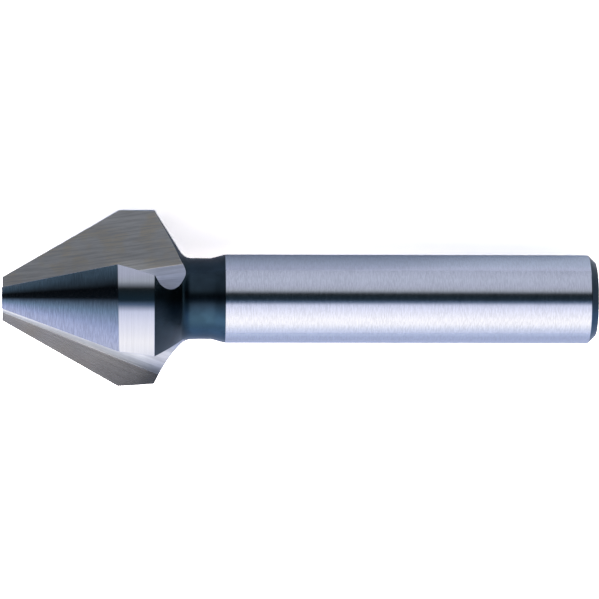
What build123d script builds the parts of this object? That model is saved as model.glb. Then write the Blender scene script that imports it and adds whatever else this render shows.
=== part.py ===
from build123d import *
from itertools import permutations
from math import asin, cos, hypot, radians, sin, sqrt, tan
import os

# Three-flute countersink, 60 degrees, right-hand cutting, with a plain cylindrical shank. It is one piece,
# ground from a bar of high-speed steel. All lengths are in millimetres and all angles in degrees.
#
# The tool is modelled with its axis on X, its tip on the plane x = 0 and its shank towards +X. Angles about
# the axis are counted from +Y towards +Z. At the end it is laid down as it comes to rest on a flat surface:
# two neighbouring teeth and the rim of the shank touch z = 0, and the origin is the middle of its footprint.

# ---- Turned body ---------------------------------------------------------------------------------------------
overall_length = 67.0
head_diameter = 20.0
tip_diameter = 5.0
point_angle = 60.0            # included angle of the cutting cone
margin_length = 4.1           # cylindrical stretch behind the cone, along its cutting edge
back_cone_angle = 116.0       # included angle of the cone that falls from the margin to the neck
neck_fillet_radius = 1.5      # between the back cone and the neck
neck_length = 3.0             # from the foot of the back cone to the taper, without the fillet
neck_relief = 0.425           # how far the neck lies below the shank
neck_taper_angle = 15.0       # of the taper from the neck up to the shank, from the axis
shank_diameter = 10.0
shank_chamfer = 0.85          # 45 degrees, at the end of the shank

# ---- Teeth ---------------------------------------------------------------------------------------------------
tooth_count = 3
gullet_angle = 61.5           # mouth of a flute, from a heel to the next cutting edge, at the margin's front
cone_relief = 0.1             # fall of the cone's radius from the cutting edge to the heel

# ---- Flutes --------------------------------------------------------------------------------------------------
# Each flute is a conical groove: every line along it runs to one apex ahead of the tip, so it grows evenly
# towards the shank. Its section is stated at the front of the margin: two flat walls and a round root, which
# meets each wall at a crease.
rake_angle = 24.5             # of the rake wall, from the radius at the cutting edge
rake_wall_depth = 3.25        # from the cutting edge down to the root
back_wall_angle = 14.0        # of the wall behind the heel, from the radius at the heel
back_wall_depth = 7.2         # from the heel down to the root
root_depth = 1.2              # of the round root, below the line between the feet of the two walls
flute_apex_ahead = 4.8        # from the tip forwards to the apex
flute_apex_drop = 0.1         # from the axis to the apex, away from the middle of the flute
flute_apex_side = 0.6         # from the axis to the apex, towards the heel's side
cutter_overrun = 3.0          # how far a cutter stands out past the blank

# ---- Derived sizes -------------------------------------------------------------------------------------------
head_radius = head_diameter / 2
tip_radius = tip_diameter / 2
shank_radius = shank_diameter / 2
neck_radius = shank_radius - neck_relief
point_slope = tan(radians(point_angle / 2))
margin_front = (head_radius - tip_radius) / point_slope
margin_back = margin_front + margin_length
neck_start = margin_back + (head_radius - neck_radius) / tan(radians(back_cone_angle / 2))
neck_end = neck_start + neck_length
shank_start = neck_end + neck_relief / tan(radians(neck_taper_angle))
shank_end = overall_length - shank_chamfer
pitch_angle = 360.0 / tooth_count
land_angle = pitch_angle - gullet_angle
flute_apex = Vector(-flute_apex_drop, -flute_apex_side)


def turned_blank():
    """The bar as turned: a plain cylinder for the head, the back cone, the neck and the shank."""
    outline = Polyline(
        (0, 0),
        (0, head_radius),
        (margin_back, head_radius),
        (neck_start, neck_radius),
        (neck_end, neck_radius),
        (shank_start, shank_radius),
        (shank_end, shank_radius),
        (overall_length, shank_radius - shank_chamfer),
        (overall_length, 0),
        close=True,
    )
    section = make_face(outline)
    neck_corner = section.vertices().sort_by_distance((neck_start, neck_radius, 0))[0]
    return revolve(fillet(neck_corner, neck_fillet_radius), Axis.X)


def point_waste(tooth):
    """What grinding takes off one tooth to give it its cone.

    The cone of a tooth is round but off centre, so that its radius falls from the cutting edge to the heel.
    """
    middle_of_land = gullet_angle / 2 + land_angle / 2 + tooth * pitch_angle
    # Half of the land lies on each side of the line across the shift, which sets the shift from the fall.
    shift = cone_relief / (2 * sin(radians(land_angle / 2)))
    front = -tip_radius / (2 * point_slope)
    back = margin_front + (cutter_overrun + 2 * shift) / point_slope
    front_radius = tip_radius + front * point_slope - cone_relief / 2
    back_radius = tip_radius + back * point_slope - cone_relief / 2
    cone_half = make_face(Polyline((front, 0), (front, front_radius), (back, back_radius), (back, 0), close=True))
    cone = Rot(X=middle_of_land - 90) * Pos(Y=shift) * revolve(cone_half, Axis.X)
    slab = Rectangle(back - front, head_radius + cutter_overrun, align=(Align.MIN, Align.MIN))
    slice_of_head = revolve(Pos(X=front) * slab, Axis.X, pitch_angle)
    return Rot(X=middle_of_land - pitch_angle / 2) * slice_of_head - cone


def flute_section():
    """Section of the flute that opens towards +Y, at the front of the margin, drawn from the apex.

    The heel of one tooth is at minus half the gullet and the cutting edge of the next at plus half of it. The
    rake wall goes down from the cutting edge and the back wall from the heel.
    """
    half_gullet = gullet_angle / 2
    edge = Vector(head_radius, 0).rotate(Axis.Z, half_gullet) - flute_apex
    heel = Vector(head_radius, 0).rotate(Axis.Z, -half_gullet) - flute_apex
    along_rake = Vector(1, 0).rotate(Axis.Z, half_gullet - rake_angle)
    along_back = Vector(1, 0).rotate(Axis.Z, -half_gullet - back_wall_angle)
    rake_foot = edge - along_rake * rake_wall_depth
    back_foot = heel - along_back * back_wall_depth
    root = SagittaArc(back_foot, rake_foot, root_depth)
    walls = Polyline(
        rake_foot,
        edge + along_rake * cutter_overrun,
        heel + along_back * cutter_overrun,
        back_foot,
    )
    return make_face([root, walls])


def flute_cutter(flute):
    """The conical groove, from ahead of the tip to the end of the neck, turned to its place."""
    section = flute_section()
    reach = margin_front + flute_apex_ahead
    ends = []
    for station in (-flute_apex_ahead / 2, neck_end):
        across = Plane(origin=(station, flute_apex.X, flute_apex.Y), x_dir=(0, 1, 0), z_dir=(1, 0, 0))
        ends.append(across * scale(section, (station + flute_apex_ahead) / reach))
    return Rot(X=flute * pitch_angle) * loft(ends, ruled=True)


def ground_tool():
    """The whole tool, with its axis on X and the first flute open towards +Y."""
    tool = turned_blank()
    for tooth in range(tooth_count):
        tool -= point_waste(tooth)
    for flute in range(tooth_count):
        tool -= flute_cutter(flute)
    return tool


def resting_plane(tool):
    """The surface that the tool lies on, facing up to it: under two corners of its teeth and the shank's rim.

    The corners are across a gullet from each other, because a land is round and would roll.
    """
    rim = Vector(shank_end, 0, 0)
    corners = [Vector(*v) for v in tool.vertices() if v.X < neck_start and hypot(v.Y, v.Z) > 0.9 * head_radius]
    lands = [edge @ 0.5 for edge in tool.edges() if (edge @ 0.5).X < neck_start]
    for first, second in permutations(corners, 2):
        line = (second - first).normalized()
        arm = (rim - first) - line * line.dot(rim - first)
        across = line.cross(arm).normalized()
        lean = 0.0
        for _ in range(6):
            down = across * cos(lean) + arm.normalized() * sin(lean)
            lean = -asin(shank_radius * sqrt(1 - down.X**2) / arm.length)
        if all(down.dot(point - first) < 1e-4 for point in corners + lands):
            return Plane(origin=first, x_dir=Vector(1, 0, 0) - down * down.X, z_dir=-down)
    raise ValueError("the tool has no two corners to rest on")


def resting_location(tool):
    """Where the modelled tool goes to lie on z = 0 over the origin."""
    laid = resting_plane(tool).location.inverse()
    footprint = (laid * tool).bounding_box()
    return Pos(-footprint.center().X, -footprint.center().Y, -footprint.min.Z) * laid


tool = ground_tool()
rest = resting_location(tool)
countersink = rest * tool
countersink.label = "countersink"

os.makedirs("parts", exist_ok=True)
export_step(countersink, "parts/countersink.step")

shank_face = (rest * Pos(X=overall_length)).position
shank_axis = shank_face - rest.position
print("volume", round(countersink.volume, 1), "box", countersink.bounding_box())
print("middle of the shank's end face", shank_face, "axis", shank_axis.normalized())
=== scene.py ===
"""Dresses the countersink bit: ground cutting head, black-oxide neck and ground shank, on a pale table."""

import logging
import math
from collections.abc import Mapping
from dataclasses import dataclass, field
from enum import Enum

import bmesh
import bpy
from mathutils import Euler, Matrix, Vector


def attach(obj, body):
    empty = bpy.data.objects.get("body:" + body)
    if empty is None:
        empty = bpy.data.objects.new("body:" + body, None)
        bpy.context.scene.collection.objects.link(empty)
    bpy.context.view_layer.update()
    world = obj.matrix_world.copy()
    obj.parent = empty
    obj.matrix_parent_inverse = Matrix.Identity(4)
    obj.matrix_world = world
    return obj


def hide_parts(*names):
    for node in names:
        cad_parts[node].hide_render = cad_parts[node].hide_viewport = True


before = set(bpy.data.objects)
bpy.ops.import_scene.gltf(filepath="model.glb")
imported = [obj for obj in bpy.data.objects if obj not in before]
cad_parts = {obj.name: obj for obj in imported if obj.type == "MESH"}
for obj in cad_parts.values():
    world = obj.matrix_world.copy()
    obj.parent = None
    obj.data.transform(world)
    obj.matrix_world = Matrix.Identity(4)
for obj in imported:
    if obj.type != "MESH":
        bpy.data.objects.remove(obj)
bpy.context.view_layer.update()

log = logging.getLogger("countersink")
MM = 0.001
Range = tuple[float, float]
Triple = tuple[float, float, float]
Colour = Triple
Stops = tuple[tuple[float, Colour], ...]


# ---- Shader graphs -----------------------------------------------------------------------------------------
class Value:
    """A number that comes out of a node; Python's operators on it add Math nodes."""

    def __init__(self, graph: "Graph", socket: bpy.types.NodeSocket) -> None:
        """Keep the graph and the socket."""
        self.graph = graph
        self.socket = socket

    def _math(self, operation: str, *operands: "Value | float") -> "Value":
        """Add one Math node and return its result."""
        return self.graph.add("ShaderNodeMath", {"operation": operation}, dict(enumerate(operands)))

    def __add__(self, other: "Value | float") -> "Value":
        """Add."""
        return self._math("ADD", self, other)

    __radd__ = __add__

    def __sub__(self, other: "Value | float") -> "Value":
        """Subtract."""
        return self._math("SUBTRACT", self, other)

    def __rsub__(self, other: float) -> "Value":
        """Subtract from a number."""
        return self._math("SUBTRACT", other, self)

    def __mul__(self, other: "Value | float") -> "Value":
        """Multiply."""
        return self._math("MULTIPLY", self, other)

    __rmul__ = __mul__

    def __truediv__(self, other: "Value | float") -> "Value":
        """Divide."""
        return self._math("DIVIDE", self, other)

    def __rtruediv__(self, other: float) -> "Value":
        """Divide a number by this."""
        return self._math("DIVIDE", other, self)

    def highest(self, other: "Value | float") -> "Value":
        """The higher of two numbers."""
        return self._math("MAXIMUM", self, other)

    def angle_from(self, other: "Value") -> "Value":
        """The angle of the direction (other, self), in radians."""
        return self._math("ARCTAN2", self, other)

    def power(self, exponent: float) -> "Value":
        """Raise to a power."""
        return self._math("POWER", self, exponent)

    def rounded(self) -> "Value":
        """The nearest whole number."""
        return self._math("ROUND", self)

    def cosine(self) -> "Value":
        """The cosine of an angle in radians."""
        return self._math("COSINE", self)

    def sine(self) -> "Value":
        """The sine of an angle in radians."""
        return self._math("SINE", self)

    def step(self, low: float, high: float) -> "Value":
        """A smooth rise from 0 at low to 1 at high, or a fall where low is the higher number.

        Args:
            low: Where the result is 0.
            high: Where the result is 1.

        Returns:
            The result, between 0 and 1.
        """
        falls = low > high
        sockets = {"Value": self, "From Min": min(low, high), "From Max": max(low, high)}
        rise = self.graph.add("ShaderNodeMapRange", {"interpolation_type": "SMOOTHSTEP"}, sockets)
        return 1.0 - rise if falls else rise


Input = Value | float | Colour | Vector | Euler


class Graph:
    """A node tree that is built by expressions."""

    # A Mix node has its sockets once for each type of data; these are the places of those for colours.
    MIX_FACTOR = 0
    MIX_FIRST = 6
    MIX_SECOND = 7
    MIX_RESULT = 2

    def __init__(self, tree: bpy.types.NodeTree) -> None:
        """Empty the tree."""
        self.tree = tree
        tree.nodes.clear()

    def add(
        self,
        kind: str,
        settings: Mapping[str, object] | None = None,
        sockets: Mapping[int | str, Input] | None = None,
        result: int | str = 0,
    ) -> Value:
        """Add one node.

        Args:
            kind: Blender's name for the node's type.
            settings: The node's own settings, and a ramp's stops as (place, colour) pairs.
            sockets: Values or links for its input sockets, by name or place.
            result: The output socket to return.

        Returns:
            The output socket as a value, or the first input of a node that has no output.
        """
        node = self.tree.nodes.new(kind)
        for name, setting in (settings or {}).items():
            if name == "stops":
                self._stops(node.color_ramp, setting)
            else:
                setattr(node, name, setting)
        for name, value in (sockets or {}).items():
            if isinstance(value, Value):
                self.tree.links.new(value.socket, node.inputs[name])
            else:
                socket = node.inputs[name]
                colour = socket.type == "RGBA" and len(value) == 3
                socket.default_value = (*value, 1.0) if colour else value
        return Value(self, node.outputs[result] if len(node.outputs) else node.inputs[0])

    @staticmethod
    def _stops(ramp: bpy.types.ColorRamp, stops: Stops) -> None:
        """Set a ramp's stops.

        Args:
            ramp: The ramp.
            stops: A place from 0 to 1 and a colour for each stop, in order.
        """
        while len(ramp.elements) < len(stops):
            ramp.elements.new(1.0)
        for element, (place, colour) in zip(ramp.elements, stops):
            element.position = place
            element.color = (*colour, 1.0)

    def mix(self, factor: Value | float, first: Input, second: Input) -> Value:
        """Mix two colours; a factor of 0 gives the first."""
        sockets = {self.MIX_FACTOR: factor, self.MIX_FIRST: first, self.MIX_SECOND: second}
        return self.add("ShaderNodeMix", {"data_type": "RGBA"}, sockets, self.MIX_RESULT)

    def tint(self, factor: Value | float, colour: Input, filter_colour: Colour) -> Value:
        """Look at a colour through a filter.

        Args:
            factor: How strong the filter is, from 0, where it is clear, to 1.
            colour: The colour.
            filter_colour: The colour of the filter at its strongest.

        Returns:
            The colour seen.
        """
        clear = (1.0, 1.0, 1.0)
        sockets = {0: colour, 1: self.mix(factor, clear, filter_colour)}
        return self.add("ShaderNodeVectorMath", {"operation": "MULTIPLY"}, sockets)

    def parts(self, vector: Value) -> tuple[Value, Value, Value]:
        """Split a vector.

        Args:
            vector: The vector.

        Returns:
            Its three parts.
        """
        node = self.add("ShaderNodeSeparateXYZ", None, {0: vector}).socket.node
        first, second, third = (Value(self, socket) for socket in node.outputs)
        return first, second, third

    def joined(self, *parts: Value | float) -> Value:
        """Three numbers as a vector."""
        return self.add("ShaderNodeCombineXYZ", None, dict(enumerate(parts)))

    def stretched(self, place: Value, along: float, across: float) -> Value:
        """A place with its first part scaled by one number and the others by another."""
        sockets = {0: place, 1: Vector((along, across, across))}
        return self.add("ShaderNodeVectorMath", {"operation": "MULTIPLY"}, sockets)

    def noise(self, place: Value, scale: float = 1.0, detail: float = 2.0, roughness: float = 0.5) -> Value:
        """Soft noise around 0.5 at a place."""
        sockets = {"Vector": place, "Scale": scale, "Detail": detail, "Roughness": roughness}
        return self.add("ShaderNodeTexNoise", None, sockets)


# ---- The tool and where it lies ----------------------------------------------------------------------------
@dataclass(frozen=True)
class Resting:
    """How the tool lies: from its own millimetres, axis on X and tip at 0, to the frame's metres.

    The angles are in degrees and the place of the tip is in millimetres.
    """

    dip: float = 4.211069
    roll: float = -93.801786
    tip: Triple = (-33.4744519, 0.0002268, 9.8439537)

    @property
    def turn(self) -> Matrix:
        """The turn from the tool's axes to the frame's."""
        dip, roll = math.radians(self.dip), math.radians(self.roll)
        return Matrix.Rotation(dip, 3, "Y") @ Matrix.Rotation(roll, 3, "X")

    def to_tool(self, point: Vector) -> Vector:
        """A point of the frame in the tool's millimetres."""
        return self.turn.transposed() @ (point / MM - Vector(self.tip))

    def coordinates(self, graph: Graph) -> Value:
        """The shaded point in the tool's millimetres.

        Args:
            graph: The graph to add to.

        Returns:
            The point, as a vector.
        """
        back = self.turn.transposed()
        place = graph.add("ShaderNodeTexCoord", result="Object")
        sockets = {
            "Vector": place,
            "Location": -(back @ Vector(self.tip)),
            "Rotation": back.to_euler("XYZ"),
            "Scale": Vector((1.0, 1.0, 1.0)) / MM,
        }
        return graph.add("ShaderNodeMapping", {"vector_type": "POINT"}, sockets)


class Surface(Enum):
    """The surfaces of the tool, in the order of its material slots."""

    CONE_LAND = 0
    MARGIN = 1
    RAKE_WALL = 2
    BACK_WALL = 3
    ROOT = 4
    OXIDE = 5
    SHANK = 6


@dataclass(frozen=True)
class Blank:
    """Sizes of the turned body, in millimetres and degrees.

    A face may stand out by the slack from the stretch of the body that it belongs to.
    """

    head_radius: float = 10.0
    tip_radius: float = 2.5
    point_half_angle: float = 30.0
    margin_length: float = 4.1
    shank_start: float = 25.0658
    shank_end: float = 66.15
    slack: float = 0.002

    @property
    def margin_front(self) -> float:
        """Where the margin starts, at the cutting edge."""
        return (self.head_radius - self.tip_radius) / math.tan(math.radians(self.point_half_angle))

    @property
    def margin_back(self) -> float:
        """Where the margin ends."""
        return self.margin_front + self.margin_length

    def surface(self, stations: list[float], radii: list[float]) -> Surface:
        """The surface that a face of the turned body belongs to.

        Args:
            stations: Where the face's corners are along the axis.
            radii: How far they are from the axis.

        Returns:
            The surface.
        """
        start = min(stations) + self.slack
        if start > self.shank_end:
            return Surface.OXIDE
        if start > self.shank_start:
            return Surface.SHANK
        if start > self.margin_back:
            return Surface.OXIDE
        if min(radii) + self.slack > self.head_radius:
            return Surface.MARGIN
        return Surface.CONE_LAND


@dataclass(frozen=True)
class Flutes:
    """Sizes of the three conical flutes, in millimetres and degrees.

    Every line along a flute runs to its apex, and its section is stated at the front of the margin. A face
    may lie off the wall or root that it belongs to by the slack, and the plane of a wall may pass its foot
    by the foot's slack. A face within the tip's slack of the tip belongs to no flute.
    """

    count: int = 3
    gullet_angle: float = 61.5
    rake_angle: float = 24.5
    rake_depth: float = 3.25
    back_angle: float = 14.0
    back_depth: float = 7.2
    root_depth: float = 1.2
    apex: Triple = (-4.8, -0.1, -0.6)
    tip_slack: float = 0.001
    slack: float = 0.004
    foot_slack: float = 0.01

    def feet(self, blank: Blank) -> tuple[Vector, Vector]:
        """Where the walls meet the root, in the section at the front of the margin.

        Args:
            blank: The turned body.

        Returns:
            The foot of the rake wall and the foot of the back wall.
        """
        half = self.gullet_angle / 2
        edge, heel = math.radians(half), math.radians(-half)
        down_rake = math.radians(half - self.rake_angle)
        down_back = math.radians(-half - self.back_angle)
        rake_foot = self._spoke(blank.head_radius, edge) - self._spoke(self.rake_depth, down_rake)
        back_foot = self._spoke(blank.head_radius, heel) - self._spoke(self.back_depth, down_back)
        return rake_foot, back_foot

    @staticmethod
    def _spoke(length: float, angle: float) -> Vector:
        """A line of a section, by its length and its angle in radians."""
        return Matrix.Rotation(angle, 2) @ Vector((length, 0))

    def root_round(self, blank: Blank) -> tuple[Vector, float]:
        """The round of the root, in the section at the front of the margin.

        Args:
            blank: The turned body.

        Returns:
            Its middle and its radius.
        """
        rake_foot, back_foot = self.feet(blank)
        chord = rake_foot - back_foot
        radius = (chord.length_squared / 4 + self.root_depth**2) / (2 * self.root_depth)
        inward = Vector((-chord.y, chord.x)).normalized()
        inward = inward if inward.x < 0 else -inward
        return (rake_foot + back_foot) / 2 + inward * (self.root_depth - radius), radius

    def folded(self, graph: Graph, place: Value) -> tuple[Value, Value, Value]:
        """The shaded point turned about the axis into the flute that opens towards +Y.

        Args:
            graph: The graph to add to.
            place: The shaded point in the tool's millimetres.

        Returns:
            Its place along the axis and its two places across it.
        """
        along, left, up = graph.parts(place)
        pitch = 2 * math.pi / self.count
        angle = up.angle_from(left)
        angle = angle - (angle / pitch).rounded() * pitch
        radius = (left * left + up * up).power(0.5)
        return along, radius * angle.cosine(), radius * angle.sine()

    def surface(self, blank: Blank, corners: list[Vector], normal: Vector) -> Surface | None:
        """The surface of a flute that a face lies on.

        Args:
            blank: The turned body.
            corners: The face's corners, in the tool's millimetres.
            normal: The face's normal, in the tool's frame.

        Returns:
            A wall, a root, or None for a face outside the flutes.
        """
        apex = Vector(self.apex)
        middle, radius = self.root_round(blank)
        rake_foot, back_foot = self.feet(blank)
        reach = blank.margin_front - apex.x
        if max(corner.x for corner in corners) < self.tip_slack:
            return None
        for flute in range(self.count):
            turn = Matrix.Rotation(math.radians(-360 / self.count * flute), 3, "X")
            gaps = []
            for corner in corners:
                arm = turn @ corner - apex
                grown = arm.x / reach
                centre = (middle - apex.yz) * grown
                gaps.append(abs((arm.yz - centre).length - radius * grown))
            if max(gaps) < self.slack:
                return Surface.ROOT
            across = turn @ normal
            if max(abs(across.dot(turn @ corner - apex)) for corner in corners) > self.slack:
                continue
            for foot, wall in ((rake_foot, Surface.RAKE_WALL), (back_foot, Surface.BACK_WALL)):
                if abs(across.dot(Vector((blank.margin_front, *foot)) - apex)) < self.foot_slack:
                    return wall
        return None


# ---- Finishes ----------------------------------------------------------------------------------------------
def shaded(colour: Colour, share: float) -> Colour:
    """A colour with each part times a share."""
    red, green, painted_light_blue = colour
    return share * red, share * green, share * painted_light_blue


@dataclass(frozen=True)
class Grain:
    """Noise with its own number of waves in a millimetre along the tool and across it."""

    along: float
    across: float
    detail: float = 4.0
    roughness: float = 0.6

    def noise(self, graph: Graph, place: Value) -> Value:
        """The noise at a place."""
        return graph.noise(graph.stretched(place, self.along, self.across), 1.0, self.detail, self.roughness)


@dataclass(frozen=True)
class Finish:
    """What every finish of the tool has: a name, a steel colour, a gloss and how far the gloss varies."""

    name: str = "steel"
    steel: Colour = (0.55, 0.575, 0.64)
    gloss: float = 0.2
    gloss_swing: float = 0.1

    def material(self, resting: Resting) -> bpy.types.Material:
        """Make the material.

        Args:
            resting: How the tool lies.

        Returns:
            The material.
        """
        material = bpy.data.materials.new(self.name)
        material.use_nodes = True
        graph = Graph(material.node_tree)
        colour, roughness, height = self.pattern(graph, resting.coordinates(graph))
        sockets = {"Strength": 1.0, "Distance": MM, "Height": height}
        bump = graph.add("ShaderNodeBump", None, sockets)
        sockets = {"Base Color": colour, "Roughness": roughness, "Metallic": 1.0, "Normal": bump}
        shader = graph.add("ShaderNodeBsdfPrincipled", None, sockets)
        graph.add("ShaderNodeOutputMaterial", None, {"Surface": shader})
        return material

    def pattern(self, graph: Graph, place: Value) -> tuple[Input, Value, Value]:
        """The finish's pattern; each finish has its own."""
        raise NotImplementedError

    def roughened(self, marks: Value) -> Value:
        """The roughness, which varies with the marks around the finish's gloss."""
        return marks * self.gloss_swing + (self.gloss - self.gloss_swing / 2)


@dataclass(frozen=True)
class GroundShank(Finish):
    """Satin centreless-ground steel with short marks around it."""

    name: str = "ground_shank"
    gloss: float = 0.14
    marks: Grain = Grain(9.0, 1.5)
    mark_depth: float = 0.0012
    light_share: float = 1.12
    waves: Grain = Grain(3.6, 1.5, 2.0, 0.5)
    wave_depth: float = 0.0026
    cloud_scale: float = 0.35
    dark_share: float = 0.95
    contrast: Range = (0.35, 0.65)

    def pattern(self, graph: Graph, place: Value) -> tuple[Input, Value, Value]:
        """The marks, over broad waves and faint clouds.

        Args:
            graph: The graph to add to.
            place: The shaded point in the tool's millimetres.

        Returns:
            The colour, the roughness and the height in millimetres.
        """
        marks = self.marks.noise(graph, place)
        waves = self.waves.noise(graph, place)
        clouds = graph.noise(place, self.cloud_scale)
        colour = graph.mix(clouds.step(*self.contrast), self.steel, shaded(self.steel, self.dark_share))
        colour = graph.mix(marks.step(*self.contrast), colour, shaded(self.steel, self.light_share))
        return colour, self.roughened(marks), marks * self.mark_depth + waves * self.wave_depth


@dataclass(frozen=True)
class GroundLand(Finish):
    """The margins: steel ground round the axis, with fine lines around it."""

    name: str = "ground_land"
    gloss: float = 0.09
    lines: Grain = Grain(14.0, 0.12)
    line_depth: float = 0.0007
    dark_share: float = 0.9
    contrast: Range = (0.3, 0.7)

    def pattern(self, graph: Graph, place: Value) -> tuple[Input, Value, Value]:
        """The lines.

        Args:
            graph: The graph to add to.
            place: The shaded point in the tool's millimetres.

        Returns:
            The colour, the roughness and the height in millimetres.
        """
        lines = self.lines.noise(graph, place)
        colour = graph.mix(lines.step(*self.contrast), self.steel, shaded(self.steel, self.dark_share))
        return colour, self.roughened(lines), lines * self.line_depth


@dataclass(frozen=True)
class GroundCone(GroundLand):
    """The cone lands, ground with a coarser wheel, so that their lines are shorter and deeper."""

    name: str = "ground_cone"
    steel: Colour = (0.58, 0.605, 0.675)
    lines: Grain = Grain(14.0, 1.0)
    line_depth: float = 0.0016
    dark_share: float = 0.7


@dataclass(frozen=True)
class GroundFlute(Finish):
    """The rake walls, with grinding streaks that fan out from the flute's apex, and painted shade towards
    their end.
    """

    name: str = "ground_flute"
    # Painted shade: a darker copy of the steel, for the rake walls inside the flutes.
    steel: Colour = (0.42, 0.42, 0.43)
    gloss: float = 0.27
    flutes: Flutes = Flutes()
    streak_depth: float = 0.0007
    streak_pace: float = 0.12
    fineness: float = 60.0
    streak_detail: float = 4.0
    streak_roughness: float = 0.6
    streak_share: float = 0.84
    cloud_scale: float = 0.45
    cloud_share: float = 0.9
    contrast: Range = (0.3, 0.7)
    # Painted shade: a filter that darkens the colour towards the end of the flute, over the span along the
    # axis below.
    painted_exit_shade: Colour = (0.7, 0.7, 0.7)
    painted_exit_shade_span: Range = (6.0, 14.5)

    def streak_place(self, graph: Graph, place: Value) -> Value:
        """A place that hardly changes along a streak.

        Args:
            graph: The graph to add to.
            place: The shaded point in the tool's millimetres.

        Returns:
            The place, as a vector.
        """
        along, left, up = self.flutes.folded(graph, place)
        reach = along - self.flutes.apex[0]
        _, *middle = self.flutes.apex
        across = [(part - start) / reach * self.fineness for part, start in zip((left, up), middle)]
        return graph.joined(reach * self.streak_pace, *across)

    def pattern(self, graph: Graph, place: Value) -> tuple[Input, Value, Value]:
        """The streaks, over faint clouds.

        Args:
            graph: The graph to add to.
            place: The shaded point in the tool's millimetres.

        Returns:
            The colour, the roughness and the height in millimetres.
        """
        fan = self.streak_place(graph, place)
        streaks = graph.noise(fan, 1.0, self.streak_detail, self.streak_roughness)
        clouds = graph.noise(place, self.cloud_scale)
        colour = graph.mix(clouds.step(*self.contrast), self.steel, shaded(self.steel, self.cloud_share))
        colour = graph.mix(streaks.step(*self.contrast), colour, shaded(self.steel, self.streak_share))
        along, _, _ = graph.parts(place)
        # Painted shade: darker towards the end of the flute.
        colour = graph.tint(along.step(*self.painted_exit_shade_span), colour, self.painted_exit_shade)
        return colour, self.roughened(streaks), streaks * self.streak_depth


@dataclass(frozen=True)
class GroundWall(GroundFlute):
    """The wide wall behind each heel, streaked in one direction, faintly stained, and lightened at its foot
    by a painted reflection.

    The feed is how far a streak moves across, in each direction, for each millimetre along.
    """

    name: str = "ground_wall"
    steel: Colour = (0.72, 0.71, 0.69)
    gloss: float = 0.33
    streak_depth: float = 0.0018
    streak_pace: float = 0.22
    fineness: float = 4.5
    streak_share: float = 0.72
    stripe_roughness: float = 0.65
    feed: tuple[float, float] = (0.201, 0.031)
    straw: Colour = (0.72, 0.65, 0.53)
    stain_scale: float = 0.5
    staining: Range = (0.42, 0.68)
    # Painted reflection: a filter that lightens the wall near its foot.
    foot: Colour = (1.38, 1.36, 1.32)
    foot_radii: Range = (5.3, 4.2)
    foot_stretch: Range = (11.0, 14.0)

    def streak_place(self, graph: Graph, place: Value) -> Value:
        """A place that hardly changes along the grinding wheel's feed.

        Args:
            graph: The graph to add to.
            place: The shaded point in the tool's millimetres.

        Returns:
            The place, as a vector.
        """
        along, left, up = self.flutes.folded(graph, place)
        across = [(part - along * rise) * self.fineness for part, rise in zip((left, up), self.feed)]
        return graph.joined(along * self.streak_pace, *across)

    def pattern(self, graph: Graph, place: Value) -> tuple[Input, Value, Value]:
        """The streaks and the stains.

        Args:
            graph: The graph to add to.
            place: The shaded point in the tool's millimetres.

        Returns:
            The colour, the roughness and the height in millimetres.
        """
        lane = self.streak_place(graph, place)
        streaks = graph.noise(lane, 1.0, self.streak_detail, self.streak_roughness)
        stripes = graph.noise(lane, 1.0, self.streak_detail, self.stripe_roughness)
        stains = graph.noise(place, self.stain_scale)
        colour = graph.mix(stains.step(*self.staining), self.steel, self.straw)
        colour = graph.mix(stripes.step(*self.contrast), colour, shaded(self.steel, self.streak_share))
        along, left, up = self.flutes.folded(graph, place)
        # Painted reflection: the wall is lighter near its foot, towards the flute's exit.
        foot_reflection = (left * left + up * up).power(0.5).step(*self.foot_radii) * along.step(*self.foot_stretch)
        colour = graph.tint(foot_reflection, colour, self.foot)
        return colour, self.roughened(streaks), streaks * self.streak_depth


@dataclass(frozen=True)
class GroundRoot(GroundFlute):
    """The round roots, brighter than the walls by a painted highlight in their steel colour."""

    name: str = "ground_root"
    # Painted highlight: a much lighter copy of the same steel.
    steel: Colour = (0.97, 0.99, 1.0)
    gloss: float = 0.42
    streak_depth: float = 0.0016
    fineness: float = 70.0
    streak_share: float = 0.72
    # Painted shade, bluish, on the root towards the flute's exit.
    painted_exit_shade: Colour = (0.60, 0.62, 0.69)
    painted_exit_shade_span: Range = (14.3, 18.0)


@dataclass(frozen=True)
class BlackOxide(Finish):
    """Turned steel blackened by steam, on the back cone, the neck and the shank's end; painted light makes
    one side lighter and bluer, and painted shade darkens the back cone and its fillet.
    """

    name: str = "black_oxide"
    steel: Colour = (0.030, 0.049, 0.064)
    gloss: float = 0.24
    # Painted light: a lighter, bluer colour on one side of the tool.
    painted_light_blue: Colour = (0.043, 0.094, 0.146)
    painted_light_heights: Range = (0.5, -2.0)
    # Painted shade: near black over the back cone and its fillet, fading out at the neck.
    painted_shade_black: Colour = (0.014, 0.030, 0.033)
    painted_shade_stretch: Range = (21.4, 19.9)
    painted_shade_share: float = 0.88
    cloud_scale: float = 0.6
    clouded: Colour = (0.75, 0.75, 0.75)
    contrast: Range = (0.3, 0.7)
    lines: Grain = Grain(6.0, 0.5, 3.0, 0.5)
    line_depth: float = 0.0005

    def pattern(self, graph: Graph, place: Value) -> tuple[Input, Value, Value]:
        """The clouds of the oxide, over faint turning lines.

        Args:
            graph: The graph to add to.
            place: The shaded point in the tool's millimetres.

        Returns:
            The colour, the roughness and the height in millimetres.
        """
        lines = self.lines.noise(graph, place)
        clouds = graph.noise(place, self.cloud_scale)
        along, _, up = graph.parts(place)
        # Painted light: lighter and bluer towards one side.
        colour = graph.mix(up.step(*self.painted_light_heights), self.steel, self.painted_light_blue)
        # Painted shade: darker over the back cone and its fillet.
        colour = graph.mix(along.step(*self.painted_shade_stretch) * self.painted_shade_share, colour, self.painted_shade_black)
        colour = graph.tint(clouds.step(*self.contrast), colour, self.clouded)
        return colour, self.roughened(lines), lines * self.line_depth


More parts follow.
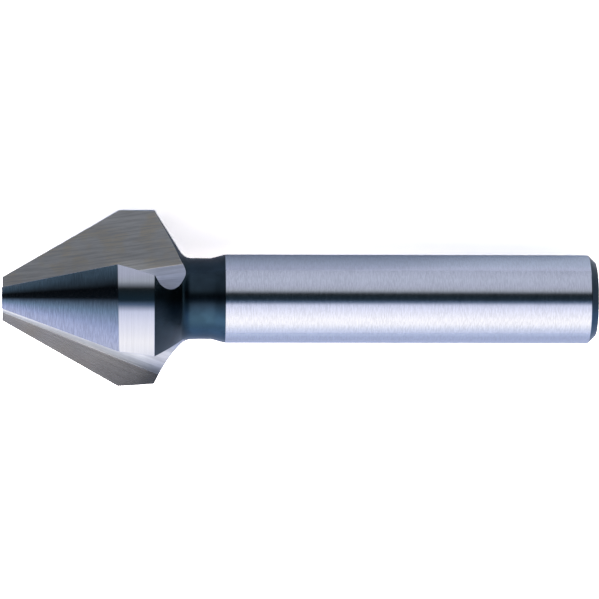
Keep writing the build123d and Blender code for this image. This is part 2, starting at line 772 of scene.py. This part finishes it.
# ---- The countersink ---------------------------------------------------------------------------------------
@dataclass
class Countersink:
    """The whole bit, one piece of steel that stands for the frame's node of the same name.

    Lengths are in millimetres and angles in radians. Corners nearer to each other than weld are merged, and
    faces of a wall are joined where the cosine between them is over flatness. An edge between two surfaces
    is a border, and so is one that turns by more than plain_corner. Triangles beside a border that are
    thinner than least_height are taken out. Then each border that turns by more than least_corner is
    broken.
    """

    node: str = "countersink"
    resting: Resting = field(default_factory=Resting)
    blank: Blank = field(default_factory=Blank)
    flutes: Flutes = field(default_factory=Flutes)
    weld: float = 0.0001
    flatness: float = 0.9999
    least_height: float = 0.07
    least_corner: float = 0.3
    plain_corner: float = 0.6
    edge_break: float = 0.045
    break_segments: int = 2

    def build(self) -> bpy.types.Object:
        """Make the piece and dress it.

        Returns:
            The finished piece.
        """
        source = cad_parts[self.node]
        mesh = bpy.data.meshes.new("ground_countersink")
        bm = bmesh.new()
        bm.from_mesh(source.data)
        bmesh.ops.remove_doubles(bm, verts=bm.verts, dist=self.weld * MM)
        self._sort_faces(bm)
        self._join_walls(bm)
        self._clear_borders(bm)
        self._break_edges(bm)
        bm.to_mesh(mesh)
        bm.free()
        imported_normals = mesh.attributes.get("custom_normal")
        if imported_normals:
            mesh.attributes.remove(imported_normals)
        piece = bpy.data.objects.new("ground_countersink", mesh)
        bpy.context.scene.collection.objects.link(piece)
        self._dress(piece)
        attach(piece, "root")
        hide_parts(self.node)
        return piece

    def _sort_faces(self, bm: bmesh.types.BMesh) -> None:
        """Give each face the slot of the surface it lies on.

        Args:
            bm: The mesh of the tool.
        """
        turn = self.resting.turn.transposed()
        for face in bm.faces:
            corners = [self.resting.to_tool(vert.co) for vert in face.verts]
            found = self.flutes.surface(self.blank, corners, turn @ face.normal)
            if found is None:
                stations = [corner.x for corner in corners]
                found = self.blank.surface(stations, [corner.yz.length for corner in corners])
            face.material_index = found.value
            face.smooth = True

    def _join_walls(self, bm: bmesh.types.BMesh) -> None:
        """Make each flat wall one face.

        Args:
            bm: The mesh of the tool.
        """
        flat = {Surface.RAKE_WALL.value, Surface.BACK_WALL.value}
        inner = [
            edge
            for edge in bm.edges
            if edge.is_manifold
            and {face.material_index for face in edge.link_faces} <= flat
            and edge.link_faces[0].normal.dot(edge.link_faces[1].normal) > self.flatness
        ]
        bmesh.ops.dissolve_edges(bm, edges=inner, use_verts=False, use_face_split=False)

    def _is_border(self, edge: bmesh.types.BMEdge) -> bool:
        """Whether an edge lies between two surfaces or is a plain corner."""
        slots = {face.material_index for face in edge.link_faces}
        return len(slots) > 1 or edge.calc_face_angle(0.0) > self.plain_corner

    def _clear_borders(self, bm: bmesh.types.BMesh) -> None:
        """Take out the thin triangles beside a border, which a broken edge would fold over.

        Args:
            bm: The mesh of the tool.
        """
        corners = {vert for edge in bm.edges if self._is_border(edge) for vert in edge.verts}
        edges, verts = [], []
        for face in bm.faces:
            longest = max(face.edges, key=bmesh.types.BMEdge.calc_length)
            height = 2 * face.calc_area() / longest.calc_length()
            if len(face.verts) > 3 or height > self.least_height * MM:
                continue
            apex = next(vert for vert in face.verts if vert not in longest.verts)
            if apex in corners and not self._is_border(longest):
                edges.append(longest)
            elif apex not in corners and self._is_border(longest):
                verts.append(apex)
        bmesh.ops.dissolve_edges(bm, edges=list(dict.fromkeys(edges)), use_verts=False, use_face_split=False)
        bmesh.ops.dissolve_verts(bm, verts=list(dict.fromkeys(verts)))
        bm.normal_update()

    def _break_edges(self, bm: bmesh.types.BMesh) -> None:
        """Take the sharpness off the borders between surfaces, and part the surfaces' shading there.

        Args:
            bm: The mesh of the tool.
        """
        borders = [edge for edge in bm.edges if self._is_border(edge)]
        for edge in borders:
            edge.smooth = False
        broken = bmesh.ops.bevel(
            bm,
            geom=[edge for edge in borders if edge.calc_face_angle(0.0) > self.least_corner],
            offset=self.edge_break * MM,
            offset_type="OFFSET",
            affect="EDGES",
            segments=self.break_segments,
            profile=0.5,
            material=-1,
        )
        strips = set(broken["faces"])
        for face in strips:
            face.smooth = True
        for edge in bm.edges:
            if len({face in strips for face in edge.link_faces}) == 2:
                edge.smooth = False

    def _dress(self, piece: bpy.types.Object) -> None:
        """Give the piece its materials, one for each surface.

        Args:
            piece: The finished piece.
        """
        finishes = {
            Surface.CONE_LAND: GroundCone(),
            Surface.MARGIN: GroundLand(),
            Surface.RAKE_WALL: GroundFlute(),
            Surface.BACK_WALL: GroundWall(),
            Surface.ROOT: GroundRoot(),
            Surface.OXIDE: BlackOxide(),
            Surface.SHANK: GroundShank(),
        }
        for surface in Surface:
            piece.data.materials.append(finishes[surface].material(self.resting))


# ---- The studio --------------------------------------------------------------------------------------------
@dataclass(frozen=True)
class Camera:
    """The camera, almost straight above the tool.

    Its place and reach are in metres, its angles in degrees, and its lens and sensor in millimetres.
    """

    location: Triple = (0.0140755, 0.0878583, 0.4715056)
    angles: Triple = (-10.706191, 1.851580, 0.559611)
    lens: float = 251.48
    sensor: float = 36.0
    reach: Range = (0.01, 20.0)

    def build(self) -> bpy.types.Object:
        """Make the camera and use it for the scene.

        Returns:
            The camera.
        """
        data = bpy.data.cameras.new("camera")
        data.lens = self.lens
        data.sensor_width = self.sensor
        data.clip_start, data.clip_end = self.reach
        camera = bpy.data.objects.new("camera", data)
        camera.location = self.location
        camera.rotation_euler = Euler([math.radians(angle) for angle in self.angles], "XYZ")
        bpy.context.scene.collection.objects.link(camera)
        bpy.context.scene.camera = camera
        return camera


@dataclass(frozen=True)
class Table:
    """A plain pale table top.

    The steel mirrors it in bands of slightly different colours. The ranges say, in metres across the tool or
    along it, where one turns into the next.
    """

    half_side: float = 3.0
    seen: Colour = (5.1, 4.65, 4.05)
    felt: Colour = (0.7, 0.7, 0.7)
    mirrored_near: Colour = (1.10, 1.17, 1.36)
    mirrored_before: Colour = (1.33, 1.41, 1.58)
    near_to_before: Range = (-0.015, -0.08)
    mirrored_behind: Colour = (0.84, 0.91, 0.99)
    mirrored_far: Colour = (0.94, 0.96, 1.05)
    behind_to_far: Range = (0.015, 0.06)
    beside_shank_end: Colour = (1.33, 1.31, 1.26)
    shank_to_end: Range = (0.008, 0.026)
    before_to_behind: Range = (-0.01, 0.01)

    def build(self) -> bpy.types.Object:
        """Make the table top.

        Returns:
            The table top.
        """
        mesh = bpy.data.meshes.new("table_top")
        bm = bmesh.new()
        bmesh.ops.create_grid(bm, x_segments=1, y_segments=1, size=self.half_side)
        bm.to_mesh(mesh)
        bm.free()
        mesh.materials.append(self._material())
        table = bpy.data.objects.new("table_top", mesh)
        bpy.context.scene.collection.objects.link(table)
        return table

    def _material(self) -> bpy.types.Material:
        """Make the material, which shows one colour to the eye, one to the steel and one to other light.

        Returns:
            The material.
        """
        material = bpy.data.materials.new("white_table")
        material.use_nodes = True
        graph = Graph(material.node_tree)
        sideways, away, _ = graph.parts(graph.add("ShaderNodeTexCoord", result="Object"))
        before = graph.mix(away.step(*self.near_to_before), self.mirrored_near, self.mirrored_before)
        behind = graph.mix(away.step(*self.behind_to_far), self.mirrored_behind, self.mirrored_far)
        behind = graph.tint(sideways.step(*self.shank_to_end), behind, self.beside_shank_end)
        mirrored = graph.mix(away.step(*self.before_to_behind), before, behind)
        to_steel = graph.add("ShaderNodeLightPath", result="Is Glossy Ray")
        to_eye = graph.add("ShaderNodeLightPath", result="Is Camera Ray")
        colour = graph.mix(to_eye, graph.mix(to_steel, self.felt, mirrored), self.seen)
        shader = graph.add("ShaderNodeBsdfDiffuse", None, {"Color": colour})
        graph.add("ShaderNodeOutputMaterial", None, {"Surface": shader})
        return material


@dataclass(frozen=True)
class Sky:
    """The light tent: a bright panel on one side, a dimmer one on the other and a dark slit overhead.

    Its colours are given by the angle around the tool in degrees, from overhead towards the bright panel,
    once for light that comes square to the tool and once for light from its ends. Overhead is a direction
    square to the tool's axis, and the ranges are cosines of the angle to that axis.
    """

    resting: Resting = Resting()
    overhead: Triple = (0.07214, 0.18624, 0.97985)
    square_on: Stops = (
        (-80, (0.56, 0.60, 0.70)),
        (-70, (0.66, 0.68, 0.80)),
        (-50, (0.71, 0.74, 0.85)),
        (-31, (0.66, 0.67, 0.78)),
        (-22, (0.56, 0.59, 0.63)),
        (-18, (0.30, 0.32, 0.35)),
        (-13, (0.012, 0.018, 0.02)),
        (3, (0.012, 0.03, 0.045)),
        (9, (0.13, 0.20, 0.31)),
        (17, (1.00, 1.02, 1.20)),
        (30, (1.27, 1.25, 1.37)),
        (58, (1.63, 1.55, 1.50)),
        (70, (1.55, 1.49, 1.47)),
        (87, (1.08, 1.11, 1.25)),
        (101, (0.92, 0.97, 1.20)),
    )
    from_ends: Stops = (
        (-100, (0.30, 0.32, 0.36)),
        (-69, (0.18, 0.20, 0.23)),
        (-57, (0.08, 0.13, 0.175)),
        (-30, (0.024, 0.035, 0.045)),
        (-21, (0.001, 0.002, 0.003)),
        (2, (0.003, 0.006, 0.009)),
        (30, (0.26, 0.38, 0.53)),
        (57, (0.57, 0.66, 0.95)),
        (80, (0.77, 0.82, 1.09)),
        (110, (0.90, 0.90, 1.00)),
    )
    towards_tip: Range = (-0.2, -0.75)
    towards_shank: Range = (0.15, 0.70)
    glow: Colour = (0.72, 0.75, 0.84)
    glow_at_tip: Range = (-0.89, -0.97)
    glow_at_shank: Range = (0.955, 0.985)

    def build(self) -> bpy.types.World:
        """Make the world.

        Returns:
            The world.
        """
        world = bpy.data.worlds.new("light_tent")
        world.use_nodes = True
        bpy.context.scene.world = world
        graph = Graph(world.node_tree)
        direction = graph.add("ShaderNodeTexCoord", result="Generated")
        axis = self.resting.turn @ Vector((1, 0, 0))
        over = Vector(self.overhead)
        along, side, up = (
            graph.add("ShaderNodeVectorMath", {"operation": "DOT_PRODUCT"}, {0: direction, 1: way}, "Value")
            for way in (axis, axis.cross(over), over)
        )
        turned = side.angle_from(up) * (0.5 / math.pi) + 0.5
        middle, ends = (
            graph.add("ShaderNodeValToRGB", {"stops": self._placed(stops)}, {0: turned})
            for stops in (self.square_on, self.from_ends)
        )
        at_ends = along.step(*self.towards_tip).highest(along.step(*self.towards_shank))
        colour = graph.mix(at_ends, middle, ends)
        in_glow = along.step(*self.glow_at_tip).highest(along.step(*self.glow_at_shank))
        colour = graph.mix(in_glow, colour, self.glow)
        background = graph.add("ShaderNodeBackground", None, {"Color": colour})
        graph.add("ShaderNodeOutputWorld", None, {"Surface": background})
        return world

    @staticmethod
    def _placed(stops: Stops) -> Stops:
        """Stops by their place on a ramp, where a full turn is 1 and straight overhead is a half."""
        return tuple((degrees / 360 + 0.5, colour) for degrees, colour in stops)


def main() -> None:
    """Build the tool and its studio."""
    logging.basicConfig(level=logging.INFO, format="%(message)s")
    bpy.context.scene.view_settings.view_transform = "Standard"
    for stage in (Camera(), Table(), Sky()):
        log.info("%s", stage.build().name)
    piece = Countersink().build()
    counts = {surface.name.lower(): 0 for surface in Surface}
    for face in piece.data.polygons:
        counts[Surface(face.material_index).name.lower()] += 1
    log.info("%s: %s", piece.name, counts)


if __name__ == "__main__":
    main()
